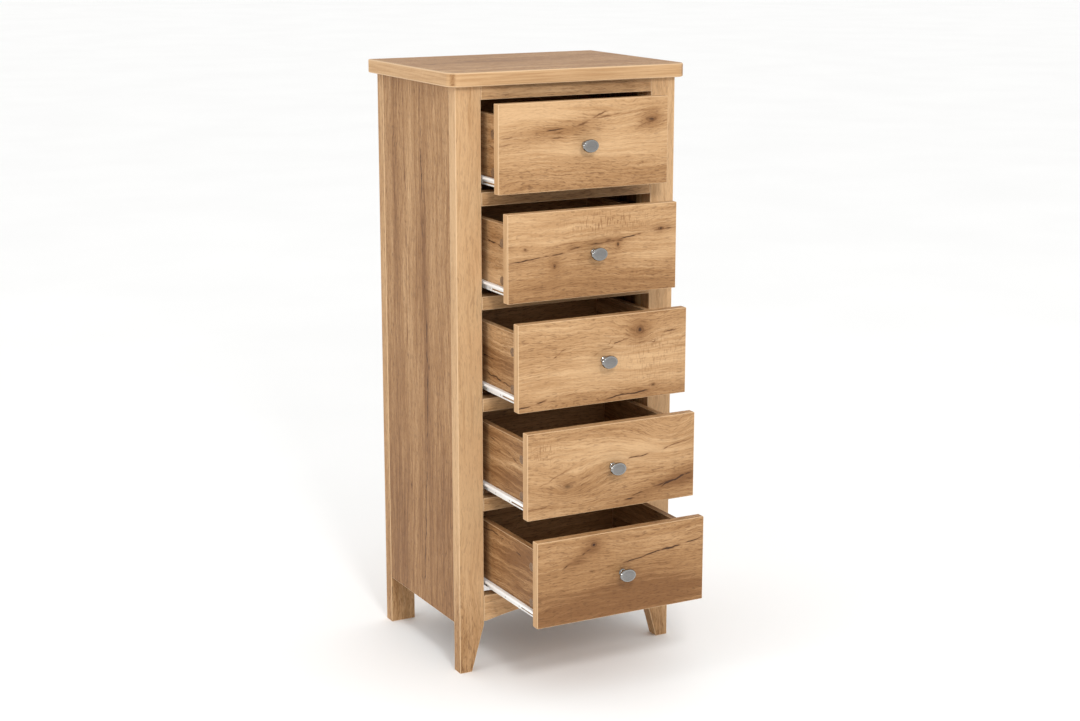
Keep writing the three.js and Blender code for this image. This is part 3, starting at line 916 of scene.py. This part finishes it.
def drawer_box(drawer, side_material, back_material):
    """Two sides and a back, mitred where the folded board has its V grooves."""
    node = f"drawer_{drawer}_box"
    low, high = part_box(node)
    t = BOX_BOARD
    fold = MITRE_GAP
    left = [(low.x, low.y), (low.x + t, low.y), (low.x + t, high.y - t - fold), (low.x, high.y - fold)]
    right = [(low.x + high.x - x, y) for x, y in left]
    back = [
        (low.x + fold, high.y), (low.x + t + fold, high.y - t),
        (high.x - t - fold, high.y - t), (high.x - fold, high.y),
    ]
    for name, outline, material in (
        ("left_side", left, side_material), ("right_side", right, side_material),
        ("back", back, back_material),
    ):
        piece = board(f"drawer_{drawer}_{name}", outline, Z, low.z, high.z, BOX_EASE)
        carved(piece, groove_for(f"drawer_{drawer}_bottom"))
        settle(piece, f"drawer_{drawer}", "oak_drawer_box", material, node)


def cam_caps(drawer, material):
    low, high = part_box(f"drawer_{drawer}_box")
    for index, lift in enumerate(CAP_HEIGHTS, 1):
        for side, x in ((1, low.x), (-1, high.x)):
            centre = (x, low.y + CAP_BEHIND_FRONT, low.z + lift)
            name = f"drawer_{drawer}_{SIDES[side]}_cam_cap_{index}"
            piece = turning(name, section(CAP_SECTION, -side), centre, X, sides=40)
            settle(piece, f"drawer_{drawer}", "oak_drawer_box", material)


def rounded_profile(corners, radius, steps=6):
    """A polyline of (p, q) corners with its inner corners rounded."""
    points = [Vector(corners[0])]
    for before, corner, after in zip(corners, corners[1:], corners[2:]):
        corner = Vector(corner)
        inwards = (Vector(before) - corner).normalized()
        onwards = (Vector(after) - corner).normalized()
        reach = radius / math.tan(inwards.angle(onwards) / 2)
        start, end = corner + inwards * reach, corner + onwards * reach
        for i in range(steps + 1):
            t = i / steps
            points.append(start * (1 - t) ** 2 + corner * (2 * t * (1 - t)) + end * t ** 2)
    points.append(Vector(corners[-1]))
    return points


def outwards(start, corners, radius):
    """A section from the axis at start, round the corners and back to the axis, out from a drawer front."""
    rounded = [(p.x, -p.y) for p in rounded_profile(section(corners), radius)]
    return section([(0, start)], -1) + rounded + section([(0, corners[-1][1])], -1)


def knob(drawer, face, rim, fixing):
    """An oval head with a brushed face inside a polished rim, on a turned stem, and its screw."""
    body = f"drawer_{drawer}"
    node = body + "_knob"
    low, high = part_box(f"drawer_{drawer}_front")
    centre = ((low.x + high.x) / 2, low.y, (low.z + high.z) / 2)

    bezel = outwards(KNOB_RIM_BACK, KNOB_RIM, RIM_ROUND)
    head = turning(node + "_rim", bezel, centre, Y, KNOB_SIDES, KNOB_OVAL)
    settle(head, body, "knob_metal", rim, node)

    steps = 12
    dome = [
        (KNOB_FACE_RADIUS * math.cos(t), KNOB_REACH - KNOB_DOME + KNOB_DOME * math.sin(t))
        for t in [math.radians(90 * i / steps) for i in range(steps)]
    ]
    bowl = [(0, KNOB_FACE_BACK), (KNOB_FACE_RADIUS, KNOB_FACE_BACK)] + dome + [(0, KNOB_REACH)]
    plate = turning(node + "_face", section(bowl, -1), centre, Y, KNOB_SIDES, KNOB_OVAL)
    settle(plate, body, "knob_metal", face, node)

    post = outwards(KNOB_STEM[0][1], KNOB_STEM, STEM_ROUND)
    stem = turning(node + "_stem", post, centre, Y)
    settle(stem, body, "knob_metal", rim, node)

    inside = high.y - low.y + CLEAR
    shank = [(0, CLEAR), (KNOB_SCREW_RADIUS, CLEAR), (KNOB_SCREW_RADIUS, inside)]
    shank += [(radius, inside + distance) for radius, distance in section(KNOB_SCREW_HEAD)]
    screw = turning(node + "_screw", shank, centre, Y, sides=32)
    head_y = low.y + shank[-1][1]
    cross_recess(screw, (centre[0], head_y, centre[2]), Y, KNOB_SCREW_CROSS)
    settle(screw, body, "knob_metal", fixing, node)


def cross_recess(screw, place, axis, reach):
    """Cuts a cross slot into a screw's head at place."""
    tools = []
    for long in (i for i in range(3) if i != axis):
        half = Vector((CROSS_WIDTH, CROSS_WIDTH, CROSS_WIDTH)) / 2
        half[axis] = CROSS_DEPTH
        half[long] = reach
        tools.append(block("cross", Vector(place) - half, Vector(place) + half))
    carved(screw, *tools)


# ---- the runners ----


def opening_x(side, u):
    """The x of a place u inwards from one side of the drawers' opening."""
    return side * (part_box("front_left_leg")[1].x + u)


def rolled(name, path, side, lift, y0, y1):
    """Sheet steel bent along a (u, w) path in mm, carried from y0 to y1."""
    points = rounded_profile(section(path), BEND)
    left, right = [], []
    for i, point in enumerate(points):
        ahead = points[min(i + 1, len(points) - 1)]
        behind = points[max(i - 1, 0)]
        run = (ahead - behind).normalized()
        normal = Vector((-run.y, run.x)) * (SHEET / 2)
        left.append(point + normal)
        right.append(point - normal)
    outline = [(opening_x(side, p.x), lift + p.y) for p in left + right[::-1]]
    return new_object(name, prism(outline, Y, y0, y1))


def roller(name, centre, sign):
    """A roller on an axle along X, with a sunk hub and a raised ring on each cheek, running inwards."""
    r = ROLLER_RADIUS
    half = [
        (0, HUB_SUNK), (HUB_RADIUS, HUB_SUNK), (r - ROLLER_RIM - RIM_SLOPE, HUB_SUNK), (r - ROLLER_RIM, 0),
        (r - RIM_CHAMFER, 0), (r, RIM_CHAMFER),
    ]
    profile = half + [(p, ROLLER_WIDTH - q) for p, q in reversed(half)]
    return turning(name, [(p, sign * q) for p, q in profile], centre, X, sides=40)


def axle(name, centre, sign, length):
    """An axle along X with a domed, riveted head at its far end."""
    profile = [(0, 0), (AXLE_RADIUS, 0), (AXLE_RADIUS, length)]
    profile += [(AXLE_RADIUS * part, length + beyond * MM) for part, beyond in RIVET]
    return turning(name, [(p, sign * q) for p, q in profile], centre, X, sides=28)


def wall_screw(name, centre, sign, material, body):
    """A small countersunk screw head that looks along X."""
    piece = turning(name, section(WALL_SCREW, sign), centre, X, sides=24)
    top = centre[0] + sign * WALL_SCREW[-1][1] * MM
    cross_recess(piece, (top, centre[1], centre[2]), X, WALL_SCREW_CROSS)
    settle(piece, body, "runner_steel", material)


def drawer_runner(drawer, side, enamel, plastic, steel):
    """The drawer half: it wraps under the box, and hooks over the case half's roller."""
    node = f"drawer_{drawer}_{SIDES[side]}_runner"
    low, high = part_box(node)
    box_low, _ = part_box(f"drawer_{drawer}_box")
    body = f"drawer_{drawer}"
    lift = box_low.z
    web = opening_x(side, WEB_U)
    rail = rolled(node + "_rail", DRAWER_HALF, side, lift, low.y, high.y)
    ends = [(web + reach, low.y + y, lift + w) for reach, y, w in zip((-CUT, CUT), SLOT_Y, SLOT_W)]
    tools = [block("slot", *ends)]
    drill = [(0, -CUT), (HOLE_RADIUS, -CUT), (HOLE_RADIUS, CUT), (0, CUT)]
    for distance in RUNNER_HOLES:
        tools.append(turning("hole", drill, (web, box_low.y + distance, lift + HOLE_W), X, sides=20))
    carved(rail, *tools)
    settle(rail, body, "runner_steel", enamel, node)

    y, z = high.y - ROLLER_INSET - ROLLER_RADIUS, lift + REAR_ROLLER_W
    wheel = roller(node + "_roller", (opening_x(side, REAR_ROLLER_U), y, z), side)
    settle(wheel, body, "runner_steel", plastic, node)
    pin = axle(node + "_axle", (opening_x(side, REAR_AXLE_U), y, z), -side, REAR_AXLE)
    settle(pin, body, "runner_steel", steel, node)
    for index, distance in enumerate(RUNNER_HOLES[2:], 1):
        centre = (opening_x(side, BOX_SCREW_U), box_low.y + distance, lift + HOLE_W)
        wall_screw(f"{node}_screw_{index}", centre, -side, steel, body)


def cabinet_runner(drawer, side, enamel, plastic, steel):
    """The case half: a C channel with its own roller at the front, where its upper flange is open."""
    node = f"{SIDES[side]}_cabinet_runner_{drawer}"
    low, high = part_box(node)
    box_low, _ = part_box(f"drawer_{drawer}_box")
    lift = box_low.z
    channel = rolled(node + "_channel", CASE_HALF, side, lift, low.y, high.y)
    x0, x1 = sorted(opening_x(side, u) for u in MOUTH_U)
    w0, w1 = MOUTH_W
    carved(channel, block("mouth", (x0, low.y - MM, lift + w0), (x1, low.y + MOUTH, lift + w1)))
    settle(channel, "root", "runner_steel", enamel, node)

    cheek_x = sorted(opening_x(side, u) for u in CHEEK_U)
    outline = [(low.y + behind, lift + w) for behind, w in section(CHEEK)]
    cheek = new_object(node + "_cheek", ease(prism(outline, X, *cheek_x), CHEEK_EASE, segments=2))
    settle(cheek, "root", "runner_steel", enamel, node)

    y, z = low.y + ROLLER_INSET + ROLLER_RADIUS, lift + FRONT_ROLLER_W
    wheel = roller(node + "_roller", (opening_x(side, FRONT_ROLLER_U), y, z), side)
    settle(wheel, "root", "runner_steel", plastic, node)
    pin = axle(node + "_axle", (opening_x(side, FRONT_AXLE_U), y, z), side, FRONT_AXLE)
    settle(pin, "root", "runner_steel", steel, node)
    for index, distance in enumerate(SCREWS_BEHIND_FRONT, 1):
        centre = (opening_x(side, SCREW_U), low.y + distance, lift + SCREW_W)
        wall_screw(f"{node}_screw_{index}", centre, side, steel, "root")


# ---- making the chest ----


def make_case():
    # painted shade: the front legs grow browner towards the floor
    floor_shade = Figure(patches=[Patch(0, 0, 0.14, 2, 0.9)])
    upright = oak("oak_upright", Z, 3.1, (1, 0.8, 0), floor_shade, tone=-0.4)
    rear_upright = oak("oak_rear_upright", Z, 11.7, (0.8, 1, 0), tone=0.3)
    rail_oak = oak("oak_rail", X, 5.3, (0, 0.8, 1), tone=0.15)
    rear_rail = oak("oak_rear_rail", X, 8.9, (0, 0.8, 1), tone=0.2)
    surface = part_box("top_panel")[1].z
    top_board(
        oak(
            "oak_top", X, 17.9, (0, 1, 0.8), top_figure(), face=(0, 0, surface), tone=0.8, contrast=1.3,
            edging=((X, Y), Z),
        )
    )
    for side in SIDES.values():
        front_leg(side, upright)
        node = f"{side}_side_panel"
        low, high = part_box(node)
        outer = low.x if side == "left" else high.x
        panel = oak(
            f"oak_{side}_panel", Z, 21.3, (0.8, 1, 0), side_figure(side), face=(outer, 0, 0), tone=0.8,
            contrast=1.35,
        )
        settle(board_of(node), "root", "oak_case", panel, node)
    rear_frame({
        "rear_left_leg": rear_upright, "rear_right_leg": rear_upright,
        "rear_top_rail": rear_rail, "rear_bottom_rail": rear_rail,
    })
    apron(rail_oak)
    for node in ("top_rail", *(f"divider_rail_{i}" for i in range(1, 5))):
        settle(board_of(node), "root", "oak_case", rail_oak, node)
    sawn = batten()
    for side in SIDES.values():
        for end in ("front", "rear"):
            node = f"{side}_{end}_post"
            settle(board_of(node, BATTEN_EASE), "root", "softwood_batten", sawn, node)


def surface_only(node, material):
    """Keeps a CAD node's own mesh, with a material of the looks."""
    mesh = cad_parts[node].data
    mesh.materials.clear()
    mesh.materials.append(material)


def make_drawers(brown_board):
    back_oak = oak("oak_box_back", X, 41.9, (0, 0.7, 1), tone=0.9)
    enamel, plastic, steel = white_enamel(), nylon(), plated("zinc_plate", 0.3, ZINC, 0.4)
    face = plated("nickel_brushed", 0.22, NICKEL_FACE, 1.0)
    rim = plated("nickel_polished", 0.08, NICKEL_RIM, 0.1)
    cap = cam_cap()
    for drawer in DRAWERS:
        face_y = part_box(f"drawer_{drawer}_front")[0].y
        grain = oak(
            f"oak_front_{drawer}", X, 7.7 * drawer, (0, 0.6, 1), front_figure(drawer), face=(0, face_y, 0),
            tone=FRONT_SHADE_TONES[drawer - 1], edging=((X,), Y),
        )
        drawer_front(drawer, grain)
        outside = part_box(f"drawer_{drawer}_box")[0].x
        side_oak = oak(
            f"oak_box_side_{drawer}", Y, 31.7 + drawer * 2.3, (0.7, 0, 1), box_figure(drawer),
            face=(outside, 0, 0), tone=SIDE_SHADE_TONES[drawer - 1], contrast=1.6,
        )
        drawer_box(drawer, side_oak, back_oak)
        cam_caps(drawer, cap)
        knob(drawer, face, rim, steel)
        for side in SIDES:
            drawer_runner(drawer, side, enamel, plastic, steel)
            cabinet_runner(drawer, side, enamel, plastic, steel)
        surface_only(f"drawer_{drawer}_bottom", brown_board)


# ---- the studio ----

AIM = Vector((-0.023, 0.008, 0.563))
CAMERA_AZIMUTH = math.radians(-27.96)
CAMERA_ELEVATION = math.radians(13.04)
CAMERA_DISTANCE = 3.73
LENS = 66.6  # mm
SENSOR = 36  # mm wide
WORLD_STRENGTH = 1.0
FLOOR_HALF = 60


def camera():
    data = bpy.data.cameras.new("camera")
    data.lens = LENS
    data.sensor_width = SENSOR
    obj = bpy.data.objects.new("camera", data)
    level = math.cos(CAMERA_ELEVATION)
    away = Vector((
        math.sin(CAMERA_AZIMUTH) * level, -math.cos(CAMERA_AZIMUTH) * level, math.sin(CAMERA_ELEVATION),
    ))
    obj.location = AIM + away * CAMERA_DISTANCE
    obj.rotation_euler = (-away).to_track_quat("-Z", "Y").to_euler()
    bpy.context.scene.collection.objects.link(obj)
    bpy.context.scene.camera = obj


def softbox(name, place, target, size, watts):
    """A square area light at place that looks at target."""
    data = bpy.data.lights.new(name, "AREA")
    data.shape = "SQUARE"
    data.size = size
    data.energy = watts
    obj = bpy.data.objects.new(name, data)
    obj.location = place
    obj.rotation_euler = (Vector(target) - Vector(place)).to_track_quat("-Z", "Y").to_euler()
    bpy.context.scene.collection.objects.link(obj)


def studio():
    world = bpy.data.worlds.new("studio")
    world.use_nodes = True
    background = world.node_tree.nodes["Background"]
    background.inputs["Color"].default_value = (1, 1, 1, 1)
    background.inputs["Strength"].default_value = WORLD_STRENGTH
    bpy.context.scene.world = world
    bpy.context.scene.view_settings.view_transform = "Standard"
    softbox("key", place=(-0.7, -2.34, 2.1), target=(0, -0.2, 0.8), size=0.4, watts=26)
    softbox("side", place=(-2.7, -0.4, 1.7), target=(0, -0.1, 0.8), size=0.5, watts=8)

    bm = bmesh.new()
    bmesh.ops.create_grid(bm, x_segments=8, y_segments=8, size=FLOOR_HALF)
    floor = new_object("floor", bm)
    material, (x, y, z) = new_material("floor_pale")
    tone = noise(x * 1.5, y * 1.5, z, detail=2)
    colour = blended(tone.smooth(0.2, 0.8), FLOOR_LIGHT, FLOOR_DARK)
    floor.data.materials.append(finished(material, colour, 0.8))


def main():
    camera()
    studio()
    brown_board = hardboard()
    make_case()
    make_drawers(brown_board)
    surface_only("back_panel", brown_board)


main()
